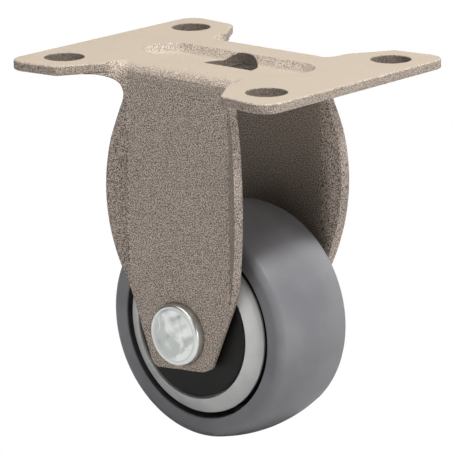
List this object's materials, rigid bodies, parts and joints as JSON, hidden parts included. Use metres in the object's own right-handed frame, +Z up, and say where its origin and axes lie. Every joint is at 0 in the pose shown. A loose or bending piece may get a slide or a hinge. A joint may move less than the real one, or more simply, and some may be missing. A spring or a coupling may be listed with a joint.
{
  "type": "fixed caster",
  "caption": "Rigid plate caster: pressed steel fork with a bow-tie top plate, flared legs, riveted axle and a crowned soft-tread wheel on ball bearings.",
  "frame": {"origin": "centre of the top plate's upper face, midway between the four bolt holes", "axes": "+Z up out of the plate, +X the rolling direction, +Y along the axle"},
  "size_m": [0.0712, 0.0584, 0.081],
  "materials": {
    "hammer_paint": "textured metallic taupe powder coat",
    "zinc": "bright zinc plate",
    "bearing_steel": "ground",
    "light_plastic": "satin",
    "soft_rubber": "satin moulded",
    "black_plastic": "satin",
    "cage_plastic": "natural"
  },
  "bodies": {
    "frame": {"fork": "hammer_paint", "axle_rivet": "zinc", "axle_spacer": "bearing_steel", "near_inner_ring": "bearing_steel", "near_thread_guard": "black_plastic", "far_inner_ring": "bearing_steel", "far_thread_guard": "black_plastic"},
    "wheel": {"tread": "soft_rubber", "wheel_core": "light_plastic", "near_outer_ring": "bearing_steel", "near_outer_shield": "bearing_steel", "near_inner_shield": "bearing_steel", "far_outer_ring": "bearing_steel", "far_outer_shield": "bearing_steel", "far_inner_shield": "bearing_steel"},
    "near_cage_set": {"near_cage": "cage_plastic", "near_ball_1": "bearing_steel", "near_ball_2": "bearing_steel", "near_ball_3": "bearing_steel", "near_ball_4": "bearing_steel", "near_ball_5": "bearing_steel", "near_ball_6": "bearing_steel", "near_ball_7": "bearing_steel"},
    "far_cage_set": {"far_cage": "cage_plastic", "far_ball_1": "bearing_steel", "far_ball_2": "bearing_steel", "far_ball_3": "bearing_steel", "far_ball_4": "bearing_steel", "far_ball_5": "bearing_steel", "far_ball_6": "bearing_steel", "far_ball_7": "bearing_steel"}
  },
  "joints": [
    {"name": "wheel_spin", "type": "hinge", "parent": "frame", "child": "wheel", "pos_m": [0, 0, -0.056], "axis": [0, 1, 0], "continuous": true},
    {"name": "near_cage_spin", "type": "hinge", "parent": "frame", "child": "near_cage_set", "pos_m": [0, 0, -0.056], "axis": [0, 1, 0], "continuous": true},
    {"name": "far_cage_spin", "type": "hinge", "parent": "frame", "child": "far_cage_set", "pos_m": [0, 0, -0.056], "axis": [0, 1, 0], "continuous": true}
  ],
  "couplings": [
    {"joint": "near_cage_spin", "follows": "wheel_spin", "ratio": 0.63227},
    {"joint": "far_cage_spin", "follows": "wheel_spin", "ratio": 0.63227}
  ]
}
